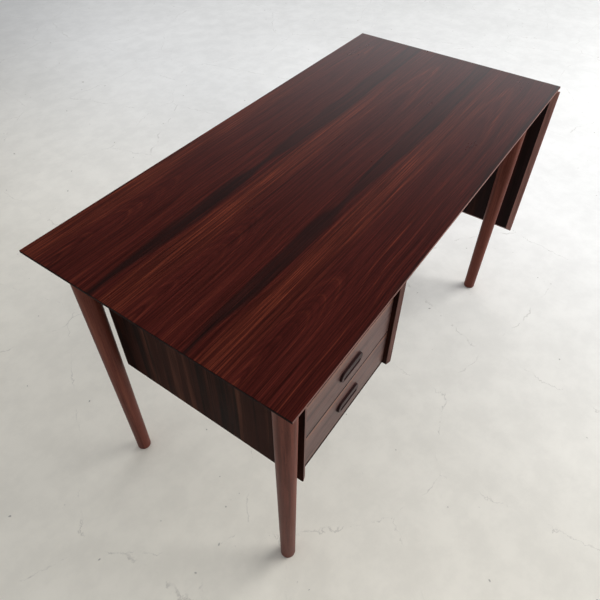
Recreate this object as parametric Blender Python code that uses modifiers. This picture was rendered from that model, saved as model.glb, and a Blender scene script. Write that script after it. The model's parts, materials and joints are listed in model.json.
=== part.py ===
"""Writing desk with two drawers and a drop leaf.

Metres, +Z up, +X towards the drop leaf, -Y towards the sitter. The origin is on the floor, under the
middle of the desk with its leaf hanging. Everything is modelled about the middle of the top and hangs
on one empty, desk_frame, which puts that origin under the middle of the whole. The drop leaf and its
fittings are modelled raised, level with the top, on the empty leaf_pivot, which hangs them down.
"""

import math

import bmesh
import bpy
from mathutils import Matrix, Vector

# Driving dimensions.
DESK_LENGTH = 1.200
DESK_DEPTH = 0.595
DESK_HEIGHT = 0.720
GAP = 0.0003  # between pieces that touch

# Top and leaf boards: an upright lip, then an undercut that makes the edge look thin.
BOARD_THICKNESS = 0.020
LIP_HEIGHT = 0.0055
UNDERCUT_RUN = 0.014
LIPPING_WIDTH = 0.018
LEAF_LENGTH = 0.476

# Leaf hinges: the axis lies just past the end of the top and just under the boards.
HINGE_OUT = 0.0008
HINGE_DROP = 0.0035
HINGE_LENGTH = 0.050
HINGE_INSET = 0.075  # from the front and back edges to the middle of the outer hinges
KNUCKLE_RADIUS = 0.0030
PIN_RADIUS = 0.0013
PLATE_THICKNESS = 0.0015
PLATE_REACH = 0.034
MOVING_KNUCKLE = 0.020

# Legs.
LEG_TOP_RADIUS = 0.0223
LEG_FOOT_RADIUS = 0.0170
LEG_FOOT_ROUND = 0.0025
LEG_INSET_X = 0.060  # from the end of the top to the middle of the leg
LEG_INSET_Y = 0.0575
LEG_SIDES = 32

# Under-frame rails.
RAIL_HEIGHT = 0.048
RAIL_THICKNESS = 0.022

# Drawer case, hung under the top at its left end.
CASE_SIDE_CLEARANCE = 0.0027  # from the left legs to the case
CASE_WIDTH = 0.352
CASE_FRONT_INSET = 0.0355  # from the top's front edge to the sides' front arris
CASE_BACK_CLEARANCE = 0.003  # from the case to the back rail
CASE_HEIGHT = 0.355
SIDE_THICKNESS = 0.0125
SIDE_FRONT_SLANT = 0.0050
SIDE_CORNER_ROUND = 0.005
FRONT_RECESS = 0.0145  # from the sides' front arris back to the drawer fronts
BOTTOM_THICKNESS = 0.008
BOTTOM_RAISE = 0.0025
SHELF_THICKNESS = 0.012
BACK_THICKNESS = 0.006
BACK_INSET = 0.008
CROSS_RAIL_HEIGHT = 0.018
CROSS_RAIL_DEPTH = 0.040

# Drawers.
DRAWER_COUNT = 2
FRONT_HEIGHT = 0.1025
FRONT_THICKNESS = 0.018
FRONT_GAP = 0.003  # between the fronts
FRONT_REVEAL = 0.002  # between the fronts and the boards, and at their ends
BOX_BACK_CLEARANCE = 0.0412  # from the closed box to the case's back
BOX_SIDE_THICKNESS = 0.011
BOX_SIDE_CLEARANCE = 0.001
BOX_SIDE_HEIGHT = 0.078
BOX_BACK_HEIGHT = 0.062
BOX_BACK_THICKNESS = 0.009
BOX_BOTTOM_THICKNESS = 0.004
BOX_BOTTOM_RAISE = 0.006
RUNNER_HEIGHT = 0.012
RUNNER_SETBACK = 0.010  # how much shorter the runner is than the box
RUNNER_BITE = 0.0065  # how far the runner reaches into the groove
GROOVE_CLEARANCE = 0.0005

# Oval pulls, let into the drawer fronts.
PULL_LENGTH = 0.078
PULL_HEIGHT = 0.026
PULL_PROUD = 0.0050
PULL_LET_IN = 0.0060
PULL_END_WALL = 0.0060
PULL_TOP_WALL = 0.0035
PULL_MOUTH_INSET = 0.0020  # from the hollow's end to the mouth's
PULL_MOUTH_HEIGHT = 0.0080
PULL_MOUTH_DROP = 0.0055  # middle of the finger mouth below the middle of the pull
PULL_LIP_THICKNESS = 0.0030
FINGER_POCKET_DEPTH = 0.0120
PULL_ROUND = 0.0012

# Folding stays that hold the raised leaf.
STAY_Y = 0.140  # either side of the middle
STAY_PIVOT_OUT = 0.0143  # from the right rail's face to the arm's pivot
STAY_PIVOT_DROP = 0.0401  # from the underside of the top down to the arm's pivot
STAY_LEAF_REACH = 0.1055  # from the hinge axis along the leaf to the link's pivot
STAY_LEAF_DROP = 0.0075  # from the hinge axis to the link's pivot, off the leaf
STAY_SLACK = 0.00132  # how much longer the straight stay is than its open reach
STAY_LINK_LENGTH = 0.0444
STAY_THICKNESS = 0.0020
STAY_WIDTH = 0.0100
STAY_PIN_RADIUS = 0.0020
STAY_HEAD_RADIUS = 0.0034
STAY_HEAD_THICKNESS = 0.0010
STAY_PLATE_HEIGHT = 0.030
STAY_PLATE_WIDTH = 0.024

# Worked out from the driving dimensions.
TOP_END = DESK_LENGTH / 2
TOP_EDGE = DESK_DEPTH / 2
UNDERSIDE = DESK_HEIGHT - BOARD_THICKNESS
FRAME_TOP = UNDERSIDE - GAP
HINGE_X = TOP_END + HINGE_OUT
HINGE_Z = UNDERSIDE - HINGE_DROP
LEAF_REACH = HINGE_OUT + HINGE_DROP + BOARD_THICKNESS
LEG_X = TOP_END - LEG_INSET_X
LEG_Y = TOP_EDGE - LEG_INSET_Y
CASE_LEFT = -LEG_X + LEG_TOP_RADIUS + CASE_SIDE_CLEARANCE
CASE_RIGHT = CASE_LEFT + CASE_WIDTH
CASE_FRONT = -TOP_EDGE + CASE_FRONT_INSET
CASE_BACK = LEG_Y - RAIL_THICKNESS / 2 - CASE_BACK_CLEARANCE
CASE_BOTTOM = UNDERSIDE - CASE_HEIGHT
CASE_MIDDLE = (CASE_LEFT + CASE_RIGHT) / 2
INNER_LEFT = CASE_LEFT + SIDE_THICKNESS
INNER_RIGHT = CASE_RIGHT - SIDE_THICKNESS
FRONT_FACE = CASE_FRONT + FRONT_RECESS
BACK_FACE = CASE_BACK - BACK_INSET - BACK_THICKNESS
BOARD_LOW = CASE_BOTTOM + BOTTOM_RAISE
FIRST_FRONT = BOARD_LOW + BOTTOM_THICKNESS + FRONT_REVEAL
FRONTS_TOP = FIRST_FRONT + DRAWER_COUNT * FRONT_HEIGHT + (DRAWER_COUNT - 1) * FRONT_GAP
BOX_FRONT = FRONT_FACE + FRONT_THICKNESS + GAP
BOX_RAISE = (FRONT_HEIGHT - BOX_SIDE_HEIGHT) / 2
BOX_LENGTH = BACK_FACE - BOX_BACK_CLEARANCE - BOX_FRONT
RUNNER_LENGTH = BOX_LENGTH - RUNNER_SETBACK
PULL_HOLLOW_LENGTH = PULL_LENGTH - 2 * PULL_END_WALL
PULL_HOLLOW_HEIGHT = PULL_HEIGHT - 2 * PULL_TOP_WALL
PULL_MOUTH_LENGTH = PULL_HOLLOW_LENGTH - 2 * PULL_MOUTH_INSET
STAY_RAIL_FACE = LEG_X + RAIL_THICKNESS / 2 + GAP
STAY_SHOULDER = Vector((STAY_RAIL_FACE + STAY_PIVOT_OUT, UNDERSIDE - STAY_PIVOT_DROP))
STAY_OPEN_WRIST = Vector((HINGE_X + STAY_LEAF_REACH, HINGE_Z - STAY_LEAF_DROP))
STAY_ARM_LENGTH = (STAY_OPEN_WRIST - STAY_SHOULDER).length + STAY_SLACK - STAY_LINK_LENGTH

ROSEWOOD = (0.105, 0.030, 0.018)
DARK_ROSEWOOD = (0.050, 0.020, 0.016)
LEG_WOOD = (0.160, 0.052, 0.034)
DRAWER_WOOD = (0.420, 0.270, 0.150)
BRASS = (0.560, 0.400, 0.180)


# ---- helpers -------------------------------------------------------------------------------------


def material(name, colour, roughness, metallic=0.0):
    made = bpy.data.materials.get(name) or bpy.data.materials.new(name)
    made.use_nodes = True
    shader = made.node_tree.nodes["Principled BSDF"]
    shader.inputs["Base Color"].default_value = (*colour, 1.0)
    shader.inputs["Roughness"].default_value = roughness
    shader.inputs["Metallic"].default_value = metallic
    return made


def clear_scene():
    for obj in list(bpy.data.objects):
        bpy.data.objects.remove(obj)


def collection(name):
    made = bpy.data.collections.new(name)
    bpy.context.scene.collection.children.link(made)
    return made


def empty(name, location, parent=None):
    made = bpy.data.objects.new(name, None)
    made.location = location
    made.parent = parent
    parts.objects.link(made)
    return made


def new_object(name, mesh, group, parent):
    made = bpy.data.objects.new(name, mesh)
    made.parent = parent
    group.objects.link(made)
    return made


def box_form(low, high):
    """A closed box between two corners, still open to editing."""
    form = bmesh.new()
    low, high = Vector(low), Vector(high)
    size = Matrix.Diagonal((*(high - low), 1.0))
    bmesh.ops.create_cube(form, size=1.0, matrix=Matrix.Translation((low + high) / 2) @ size)
    return form


def box_mesh(name, low, high):
    return finish_mesh(name, box_form(low, high))


def finish_mesh(name, form):
    bmesh.ops.recalc_face_normals(form, faces=form.faces)
    mesh = bpy.data.meshes.new(name)
    form.to_mesh(mesh)
    form.free()
    return mesh


def board(name, low, high, finish, parent, planes=()):
    """A box that is cut back by planes, each a point and the normal of the side that goes."""
    form = box_form(low, high)
    for point, normal in planes:
        geometry = form.verts[:] + form.edges[:] + form.faces[:]
        cut = bmesh.ops.bisect_plane(form, geom=geometry, plane_co=point, plane_no=normal, clear_outer=True)
        rim = [edge for edge in cut["geom_cut"] if isinstance(edge, bmesh.types.BMEdge)]
        bmesh.ops.holes_fill(form, edges=rim, sides=0)
    made = new_object(name, finish_mesh(name, form), parts, parent)
    made.data.materials.append(finish)
    return made


def rod_mesh(name, start, end, radius, sides=20, end_radius=None):
    """A closed cylinder, or a cone, from one point to another."""
    start, end = Vector(start), Vector(end)
    run = end - start
    turn = run.to_track_quat("Z", "Y").to_matrix().to_4x4()
    form = bmesh.new()
    bmesh.ops.create_cone(
        form,
        cap_ends=True,
        segments=sides,
        radius1=radius,
        radius2=radius if end_radius is None else end_radius,
        depth=run.length,
        matrix=Matrix.Translation((start + end) / 2) @ turn,
    )
    return finish_mesh(name, form)


def oval_mesh(name, centre, length, height, front, back, steps=8):
    """An upright oval block with half-round ends, from its front face to its back face along Y."""
    form = bmesh.new()
    radius = height / 2
    reach = length / 2 - radius
    ring = []
    for side in (1, -1):
        for step in range(steps + 1):
            angle = side * math.pi / 2 - math.pi * step / steps
            x = centre[0] + side * reach + radius * math.cos(angle)
            z = centre[1] + radius * math.sin(angle)
            ring.append(form.verts.new((x, front, z)))
    face = form.faces.new(ring)
    grown = bmesh.ops.extrude_face_region(form, geom=[face])
    moved = [item for item in grown["geom"] if isinstance(item, bmesh.types.BMVert)]
    bmesh.ops.translate(form, verts=moved, vec=(0, back - front, 0))
    return finish_mesh(name, form)


def combine(target, mesh, operation):
    """Cuts a shape out of an object, or joins one to it."""
    helper = new_object(f"{target.name}_{operation.lower()}", mesh, cutters, target.parent)
    helper.hide_render = True
    helper.display_type = "WIRE"
    change = target.modifiers.new(helper.name, "BOOLEAN")
    change.operation = operation
    change.object = helper
    return target


def cut(target, mesh):
    return combine(target, mesh, "DIFFERENCE")


def join(target, mesh):
    return combine(target, mesh, "UNION")


def soften(target, width, segments=1, angle=40):
    """A small bevel on the arrises."""
    bevel = target.modifiers.new("arris", "BEVEL")
    bevel.width = width
    bevel.segments = segments
    bevel.limit_method = "ANGLE"
    bevel.angle_limit = math.radians(angle)
    return target


# ---- boards of the top and of the leaf -----------------------------------------------------------


def undercut(edge, outward, top):
    """The plane that takes away the lower outer part of a board's edge at a given place."""
    outward = Vector(outward)
    point = outward * edge + Vector((0, 0, top - LIP_HEIGHT))
    slope = (outward * (BOARD_THICKNESS - LIP_HEIGHT) - Vector((0, 0, UNDERCUT_RUN))).normalized()
    return point, slope


def lipped_board(prefix, names, near, far, top, parent, thin_end):
    """A veneered core with four lippings, mitred at the corners.

    It runs from near to far along X. thin_end is +1 or -1, the end along X that is undercut; the other
    end stays square for the hinges.
    """
    low = top - BOARD_THICKNESS
    front_cut = undercut(TOP_EDGE, (0, -1, 0), top)
    back_cut = undercut(TOP_EDGE, (0, 1, 0), top)
    end_edge = far if thin_end > 0 else -near
    end_cut = undercut(end_edge, (thin_end, 0, 0), top)
    veneer = material("rosewood_veneer", ROSEWOOD, 0.45)
    solid = material("rosewood_solid", ROSEWOOD, 0.45)
    inner_near, inner_far = near + LIPPING_WIDTH, far - LIPPING_WIDTH
    inner_edge = TOP_EDGE - LIPPING_WIDTH
    step = GAP / 2
    board(
        f"{prefix}_{names['core']}",
        (inner_near + step, -inner_edge + step, low),
        (inner_far - step, inner_edge - step, top),
        veneer,
        parent,
    )
    mitre = step * math.sqrt(2)
    for side, sign, edge_cut in (("front", -1, front_cut), ("back", 1, back_cut)):
        corner_near = Vector((near + mitre, sign * TOP_EDGE, 0))
        corner_far = Vector((far - mitre, sign * TOP_EDGE, 0))
        board(
            f"{prefix}_lipping_{side}",
            (near, min(sign * TOP_EDGE, sign * (inner_edge + step)), low),
            (far, max(sign * TOP_EDGE, sign * (inner_edge + step)), top),
            solid,
            parent,
            [
                edge_cut,
                end_cut,
                (corner_near, Vector((-1, -sign, 0)).normalized()),
                (corner_far, Vector((1, -sign, 0)).normalized()),
            ],
        )
    for end, sign, place in (("near", -1, near), ("far", 1, far)):
        inner = place - sign * (LIPPING_WIDTH - step)
        board(
            f"{prefix}_lipping_{names[end]}",
            (min(place, inner), -TOP_EDGE, low),
            (max(place, inner), TOP_EDGE, top),
            solid,
            parent,
            [
                front_cut,
                back_cut,
                end_cut,
                (Vector((place - sign * mitre, -TOP_EDGE, 0)), Vector((-sign, -1, 0)).normalized()),
                (Vector((place - sign * mitre, TOP_EDGE, 0)), Vector((-sign, 1, 0)).normalized()),
            ],
        )


# ---- legs and under-frame ------------------------------------------------------------------------


def leg_profile():
    """Half of the leg's outline, from the middle of its top down its outer side to its foot."""
    points = [(0.0, FRAME_TOP), (LEG_TOP_RADIUS, FRAME_TOP)]
    for step in range(4):
        angle = math.radians(30) * step
        x = LEG_FOOT_RADIUS - LEG_FOOT_ROUND + LEG_FOOT_ROUND * math.cos(angle)
        points.append((x, LEG_FOOT_ROUND - LEG_FOOT_ROUND * math.sin(angle)))
    return points + [(0.0, 0.0)]


def leg(name, x, y):
    form = bmesh.new()
    ring = [form.verts.new((px, 0, pz)) for px, pz in leg_profile()]
    for first, second in zip(ring, ring[1:]):
        form.edges.new((first, second))
    mesh = bpy.data.meshes.new(name)
    form.to_mesh(mesh)
    form.free()
    made = new_object(name, mesh, parts, desk_frame)
    made.location = (x, y, 0)
    turn = made.modifiers.new("turn", "SCREW")
    turn.steps = LEG_SIDES
    turn.render_steps = LEG_SIDES
    turn.use_merge_vertices = True
    turn.merge_threshold = 0.00001
    made.data.materials.append(material("rosewood_leg", LEG_WOOD, 0.4))
    return made


def leg_hole(x, y):
    return rod_mesh("leg_hole", (x, y, 0), (x, y, DESK_HEIGHT), LEG_TOP_RADIUS + GAP, LEG_SIDES)


def rail(name, low, high, legs):
    made = board(name, (*low, FRAME_TOP - RAIL_HEIGHT), (*high, FRAME_TOP), dark_wood, desk_frame)
    for x, y in legs:
        cut(made, leg_hole(x, y))
    return made


def build_frame():
    for end, x in (("left", -LEG_X), ("right", LEG_X)):
        for side, y in (("front", -LEG_Y), ("back", LEG_Y)):
            leg(f"leg_{side}_{end}", x, y)
    half = RAIL_THICKNESS / 2
    for end, x in (("left", -LEG_X), ("right", LEG_X)):
        corners = [(x, -LEG_Y), (x, LEG_Y)]
        rail(f"rail_{end}", (x - half, -LEG_Y), (x + half, LEG_Y), corners)
    rail("rail_back", (-LEG_X, LEG_Y - half), (LEG_X, LEG_Y + half), [(-LEG_X, LEG_Y), (LEG_X, LEG_Y)])
    rail("rail_front", (CASE_RIGHT + GAP, -LEG_Y - half), (LEG_X, -LEG_Y + half), [(LEG_X, -LEG_Y)])


# ---- drawer case ---------------------------------------------------------------------------------


def case_side(name, outer, inner):
    """A side of the case. Its front edge slants back from the outer arris to the inner one."""
    low = (min(outer, inner), CASE_FRONT, CASE_BOTTOM)
    high = (max(outer, inner), CASE_BACK, FRAME_TOP)
    made = board(name, low, high, case_veneer, desk_frame)
    form = bmesh.new()
    form.from_mesh(made.data)
    corner = [
        edge
        for edge in form.edges
        if all(vert.co.y < CASE_FRONT + GAP and vert.co.z < CASE_BOTTOM + GAP for vert in edge.verts)
    ]
    bmesh.ops.bevel(form, geom=corner, offset=SIDE_CORNER_ROUND, segments=4, profile=0.5, affect="EDGES")
    run = inner - outer
    normal = Vector((math.copysign(SIDE_FRONT_SLANT, run), -abs(run), 0)).normalized()
    geometry = form.verts[:] + form.edges[:] + form.faces[:]
    sliced = bmesh.ops.bisect_plane(
        form, geom=geometry, plane_co=(outer, CASE_FRONT, 0), plane_no=normal, clear_outer=True
    )
    rim = [edge for edge in sliced["geom_cut"] if isinstance(edge, bmesh.types.BMEdge)]
    bmesh.ops.holes_fill(form, edges=rim, sides=0)
    bmesh.ops.recalc_face_normals(form, faces=form.faces)
    form.to_mesh(made.data)
    form.free()
    return made


def build_case():
    case_side("case_side_left", CASE_LEFT, INNER_LEFT)
    case_side("case_side_right", CASE_RIGHT, INNER_RIGHT)
    left, right = INNER_LEFT + GAP, INNER_RIGHT - GAP
    board(
        "case_bottom",
        (left, FRONT_FACE, BOARD_LOW),
        (right, BACK_FACE - GAP, BOARD_LOW + BOTTOM_THICKNESS),
        case_veneer,
        desk_frame,
    )
    shelf = FRONTS_TOP + FRONT_REVEAL
    board(
        "case_shelf",
        (left, FRONT_FACE, shelf),
        (right, BACK_FACE - GAP, shelf + SHELF_THICKNESS),
        case_veneer,
        desk_frame,
    )
    board(
        "case_back",
        (left, BACK_FACE, BOARD_LOW),
        (right, BACK_FACE + BACK_THICKNESS, FRAME_TOP),
        case_veneer,
        desk_frame,
    )
    rails = {"front": FRONT_FACE, "back": BACK_FACE - GAP - CROSS_RAIL_DEPTH}
    for side, start in rails.items():
        board(
            f"case_cross_rail_{side}",
            (left, start, FRAME_TOP - CROSS_RAIL_HEIGHT),
            (right, start + CROSS_RAIL_DEPTH, FRAME_TOP),
            dark_wood,
            desk_frame,
        )


# ---- drawers -------------------------------------------------------------------------------------


def drawer(prefix, low):
    """One drawer, its front's lower edge at low, and the two runners that it slides on."""
    slide = empty(f"{prefix}_slide", (CASE_MIDDLE, FRONT_FACE, low), desk_frame)
    half_front = (INNER_RIGHT - INNER_LEFT) / 2 - FRONT_REVEAL
    half_box = (INNER_RIGHT - INNER_LEFT) / 2 - BOX_SIDE_CLEARANCE
    inner = half_box - BOX_SIDE_THICKNESS
    start = BOX_FRONT - FRONT_FACE
    end = start + BOX_LENGTH
    middle = FRONT_HEIGHT / 2
    groove_half = RUNNER_HEIGHT / 2 + GROOVE_CLEARANCE
    groove_depth = RUNNER_BITE + GROOVE_CLEARANCE
    front_high = (half_front, FRONT_THICKNESS, FRONT_HEIGHT)
    front = board(f"{prefix}_front", (-half_front, 0, 0), front_high, front_veneer, slide)
    cut(
        front,
        oval_mesh(
            "mortise",
            (0, middle),
            PULL_LENGTH + 2 * GAP,
            PULL_HEIGHT + 2 * GAP,
            -PULL_PROUD,
            PULL_LET_IN + GAP,
        ),
    )
    cut(
        front,
        oval_mesh("pocket", (0, middle), PULL_HOLLOW_LENGTH, PULL_HOLLOW_HEIGHT, 0, FINGER_POCKET_DEPTH),
    )
    pull(f"{prefix}_pull", middle, slide)
    for side, sign in (("left", -1), ("right", 1)):
        outer_x, inner_x = sign * half_box, sign * inner
        wall = board(
            f"{prefix}_side_{side}",
            (min(outer_x, inner_x), start, BOX_RAISE),
            (max(outer_x, inner_x), end, BOX_RAISE + BOX_SIDE_HEIGHT),
            drawer_wood,
            slide,
        )
        groove_x = sign * (half_box - groove_depth)
        past_x = sign * (half_box + groove_depth)
        cut(
            wall,
            box_mesh(
                "groove",
                (min(groove_x, past_x), start - GAP * 3, middle - groove_half),
                (max(groove_x, past_x), end + GAP * 3, middle + groove_half),
            ),
        )
    board(
        f"{prefix}_back",
        (-inner + GAP, end - BOX_BACK_THICKNESS, BOX_RAISE + BOX_BOTTOM_RAISE + BOX_BOTTOM_THICKNESS + GAP),
        (inner - GAP, end, BOX_RAISE + BOX_BOTTOM_RAISE + BOX_BOTTOM_THICKNESS + GAP + BOX_BACK_HEIGHT),
        drawer_wood,
        slide,
    )
    board(
        f"{prefix}_bottom",
        (-inner + GAP, start, BOX_RAISE + BOX_BOTTOM_RAISE),
        (inner - GAP, end, BOX_RAISE + BOX_BOTTOM_RAISE + BOX_BOTTOM_THICKNESS),
        drawer_wood,
        slide,
    )
    for side, sign, wall_x in (("left", 1, INNER_LEFT), ("right", -1, INNER_RIGHT)):
        near = wall_x + sign * GAP
        far = wall_x + sign * (BOX_SIDE_CLEARANCE + RUNNER_BITE)
        board(
            f"{prefix}_runner_{side}",
            (min(near, far), BOX_FRONT + GAP, low + middle - RUNNER_HEIGHT / 2),
            (max(near, far), BOX_FRONT + GAP + RUNNER_LENGTH, low + middle + RUNNER_HEIGHT / 2),
            drawer_wood,
            desk_frame,
        )


def pull(name, middle, slide):
    """An oval block, hollowed from behind, with a finger mouth under its upper lip."""
    made = new_object(
        name,
        oval_mesh(name, (0, middle), PULL_LENGTH, PULL_HEIGHT, -PULL_PROUD, PULL_LET_IN),
        parts,
        slide,
    )
    made.data.materials.append(material("rosewood_pull", DARK_ROSEWOOD, 0.35))
    soften(made, PULL_ROUND, 2, 60)
    hollow_front = PULL_LIP_THICKNESS - PULL_PROUD
    hollow_back = PULL_LET_IN * 2
    cut(
        made,
        oval_mesh("hollow", (0, middle), PULL_HOLLOW_LENGTH, PULL_HOLLOW_HEIGHT, hollow_front, hollow_back),
    )
    cut(
        made,
        oval_mesh(
            "mouth",
            (0, middle - PULL_MOUTH_DROP),
            PULL_MOUTH_LENGTH,
            PULL_MOUTH_HEIGHT,
            -PULL_PROUD * 2,
            hollow_front + GAP * 3,
        ),
    )
    return made


# ---- leaf hinges ---------------------------------------------------------------------------------


def pin_point(y):
    """A point on the hinge axis."""
    return (HINGE_X, y, HINGE_Z)


def hinge(name, y):
    """A butt hinge: one leaf under the top, one under the drop leaf, and the pin between them."""
    half = HINGE_LENGTH / 2
    moving = MOVING_KNUCKLE / 2
    clear = KNUCKLE_RADIUS + GAP
    high = HINGE_DROP - GAP
    low = high - PLATE_THICKNESS
    plate_z = (HINGE_Z + low, HINGE_Z + high)
    fixed = board(
        f"{name}_top_leaf",
        (HINGE_X - PLATE_REACH, y - half, plate_z[0]),
        (HINGE_X - clear, y + half, plate_z[1]),
        brass,
        desk_frame,
    )
    for sign in (-1, 1):
        inner, outer = y + sign * (moving + GAP), y + sign * half
        low_y, high_y = min(inner, outer), max(inner, outer)
        tab_low = (HINGE_X - clear - GAP, low_y, plate_z[0])
        join(fixed, box_mesh("tab", tab_low, (HINGE_X, high_y, plate_z[1] - GAP)))
        join(fixed, rod_mesh("knuckle", pin_point(low_y), pin_point(high_y), KNUCKLE_RADIUS))
    bore = rod_mesh("bore", pin_point(y - half - GAP), pin_point(y + half + GAP), PIN_RADIUS + GAP)
    cut(fixed, bore)
    turning = board(
        f"{name}_drop_leaf",
        (clear, y - half, low),
        (PLATE_REACH, y + half, high),
        brass,
        leaf_pivot,
    )
    join(turning, box_mesh("tab", (0, y - moving, low), (clear + GAP, y + moving, high - GAP)))
    join(turning, rod_mesh("knuckle", (0, y - moving, 0), (0, y + moving, 0), KNUCKLE_RADIUS))
    cut(turning, rod_mesh("bore", (0, y - moving - GAP, 0), (0, y + moving + GAP, 0), PIN_RADIUS + GAP))
    pin_mesh = rod_mesh(f"{name}_pin", pin_point(y - half), pin_point(y + half), PIN_RADIUS)
    pin = new_object(f"{name}_pin", pin_mesh, parts, desk_frame)
    pin.data.materials.append(brass)


# ---- folding stays -------------------------------------------------------------------------------


def flat_bar(name, start, end, y, parent):
    """A flat link with round ends, upright, from one pivot to the other in the plane at y."""
    start, end = Vector(start), Vector(end)
    run = end - start
    length = run.length
    form = bmesh.new()
    radius = STAY_WIDTH / 2
    ring = []
    for x, first in ((length, -90), (0.0, 90)):
        for step in range(9):
            angle = math.radians(first + 22.5 * step)
            ring.append(form.verts.new((x + radius * math.cos(angle), y, radius * math.sin(angle))))
    face = form.faces.new(ring)
    grown = bmesh.ops.extrude_face_region(form, geom=[face])
    moved = [item for item in grown["geom"] if isinstance(item, bmesh.types.BMVert)]
    bmesh.ops.translate(form, verts=moved, vec=(0, STAY_THICKNESS, 0))
    made = new_object(name, finish_mesh(name, form), parts, parent)
    made.location = (start.x, 0, start.y)
    made.rotation_euler = (0, -math.atan2(run.y, run.x), 0)
    made.data.materials.append(brass)
    return made


def round_bit(x, low_y, high_y, radius, z=0.0):
    return rod_mesh("round", (x, low_y, z), (x, high_y, z), radius, 16)


def elbow(shoulder, wrist):
    """Where the arm meets the link while the leaf hangs, on the side away from the leaf."""
    reach = wrist - shoulder
    along = (STAY_ARM_LENGTH**2 - STAY_LINK_LENGTH**2 + reach.length**2) / (2 * reach.length)
    off = math.sqrt(STAY_ARM_LENGTH**2 - along**2)
    unit = reach.normalized()
    return shoulder + unit * along + Vector((unit.y, -unit.x)) * off


def stay(side, y):
    """A rail bracket, an arm, a link and a leaf bracket. Points here are pairs of X and Z."""
    rail_face = STAY_RAIL_FACE
    shoulder = STAY_SHOULDER
    wrist = Vector((HINGE_X - STAY_LEAF_DROP, HINGE_Z - STAY_LEAF_REACH))
    knee = elbow(shoulder, wrist)
    layer = STAY_THICKNESS + GAP
    arm_y, link_y, ear_y = y + layer, y + 2 * layer, y + 3 * layer
    half = STAY_WIDTH / 2

    bracket = board(
        f"stay_{side}_rail_bracket",
        (rail_face, y - STAY_PLATE_WIDTH / 2, FRAME_TOP - STAY_PLATE_HEIGHT - STAY_PIVOT_DROP / 3),
        (rail_face + PLATE_THICKNESS, y + STAY_PLATE_WIDTH / 2, FRAME_TOP - STAY_PIVOT_DROP / 3),
        brass,
        desk_frame,
    )
    ear_low = (rail_face + PLATE_THICKNESS / 2, y, shoulder.y - half)
    ear_high = (shoulder.x + half, y + STAY_THICKNESS, shoulder.y + half)
    join(bracket, box_mesh("ear", ear_low, ear_high))
    head_y = arm_y + layer
    pin_y = y + STAY_THICKNESS / 2
    join(bracket, round_bit(shoulder.x, pin_y, head_y + GAP, STAY_PIN_RADIUS, shoulder.y))
    head_end = head_y + STAY_HEAD_THICKNESS
    join(bracket, round_bit(shoulder.x, head_y, head_end, STAY_HEAD_RADIUS, shoulder.y))

    pivot = empty(f"stay_{side}_arm_pivot", (0, 0, 0), desk_frame)
    arm = flat_bar(f"stay_{side}_arm", shoulder, knee, arm_y, pivot)
    hole = round_bit(0, arm_y - GAP, arm_y + layer, STAY_PIN_RADIUS + GAP)
    cut_in_place(arm, hole)

    link = flat_bar(f"stay_{side}_link", wrist, knee, link_y, desk_frame)
    cut_in_place(link, round_bit(0, link_y - GAP, link_y + layer, STAY_PIN_RADIUS + GAP))
    boss_low, boss_high = link_y + STAY_THICKNESS / 2, link_y + STAY_THICKNESS + STAY_HEAD_THICKNESS
    join_in_place(link, round_bit(STAY_LINK_LENGTH, boss_low, boss_high, STAY_HEAD_RADIUS))

    leaf_face = HINGE_DROP - GAP
    half_height, half_width = STAY_PLATE_HEIGHT / 2, STAY_PLATE_WIDTH / 2
    leaf_bracket = board(
        f"stay_{side}_leaf_bracket",
        (STAY_LEAF_REACH - half_height, ear_y - half_width, leaf_face - PLATE_THICKNESS),
        (STAY_LEAF_REACH + half_height, ear_y + half_width, leaf_face),
        brass,
        leaf_pivot,
    )
    ear = box_mesh(
        "ear",
        (STAY_LEAF_REACH - half, ear_y, -STAY_LEAF_DROP - half),
        (STAY_LEAF_REACH + half, ear_y + STAY_THICKNESS, leaf_face - PLATE_THICKNESS / 2),
    )
    join(leaf_bracket, ear)
    pin_end = ear_y + STAY_THICKNESS / 2
    pin = round_bit(STAY_LEAF_REACH, link_y - 2 * GAP, pin_end, STAY_PIN_RADIUS, -STAY_LEAF_DROP)
    join(leaf_bracket, pin)
    head_face = link_y - GAP
    head_back = head_face - STAY_HEAD_THICKNESS
    join(leaf_bracket, round_bit(STAY_LEAF_REACH, head_back, head_face, STAY_HEAD_RADIUS, -STAY_LEAF_DROP))


def cut_in_place(target, mesh):
    return placed(target, cut(target, mesh))


def join_in_place(target, mesh):
    return placed(target, join(target, mesh))


def placed(target, made):
    """Gives the newest helper the target's own place, because its mesh is in the target's own axes."""
    helper = made.modifiers[-1].object
    helper.location = target.location
    helper.rotation_euler = target.rotation_euler
    return made


# ---- the whole -----------------------------------------------------------------------------------

clear_scene()
parts = collection("writing_desk")
cutters = collection("writing_desk_cutters")
desk_frame = empty("desk_frame", (-LEAF_REACH / 2, 0, 0))
leaf_pivot = empty("leaf_pivot", (HINGE_X, 0, HINGE_Z), desk_frame)
leaf_pivot.rotation_euler = (0, math.pi / 2, 0)

case_veneer = material("rosewood_case", ROSEWOOD, 0.45)
front_veneer = material("rosewood_front", ROSEWOOD, 0.45)
dark_wood = material("rosewood_dark", DARK_ROSEWOOD, 0.5)
drawer_wood = material("drawer_wood", DRAWER_WOOD, 0.6)
brass = material("brass", BRASS, 0.35, 1.0)

TOP_NAMES = {"core": "panel", "near": "left", "far": "right"}
LEAF_NAMES = {"core": "panel", "near": "hinge_side", "far": "end"}
lipped_board("top", TOP_NAMES, -TOP_END, TOP_END, DESK_HEIGHT, desk_frame, -1)
leaf_top = DESK_HEIGHT - HINGE_Z
lipped_board("leaf", LEAF_NAMES, HINGE_OUT, HINGE_OUT + LEAF_LENGTH, leaf_top, leaf_pivot, 1)

build_frame()
build_case()
for index, label in enumerate(("lower_drawer", "upper_drawer")):
    drawer(label, FIRST_FRONT + index * (FRONT_HEIGHT + FRONT_GAP))

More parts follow.
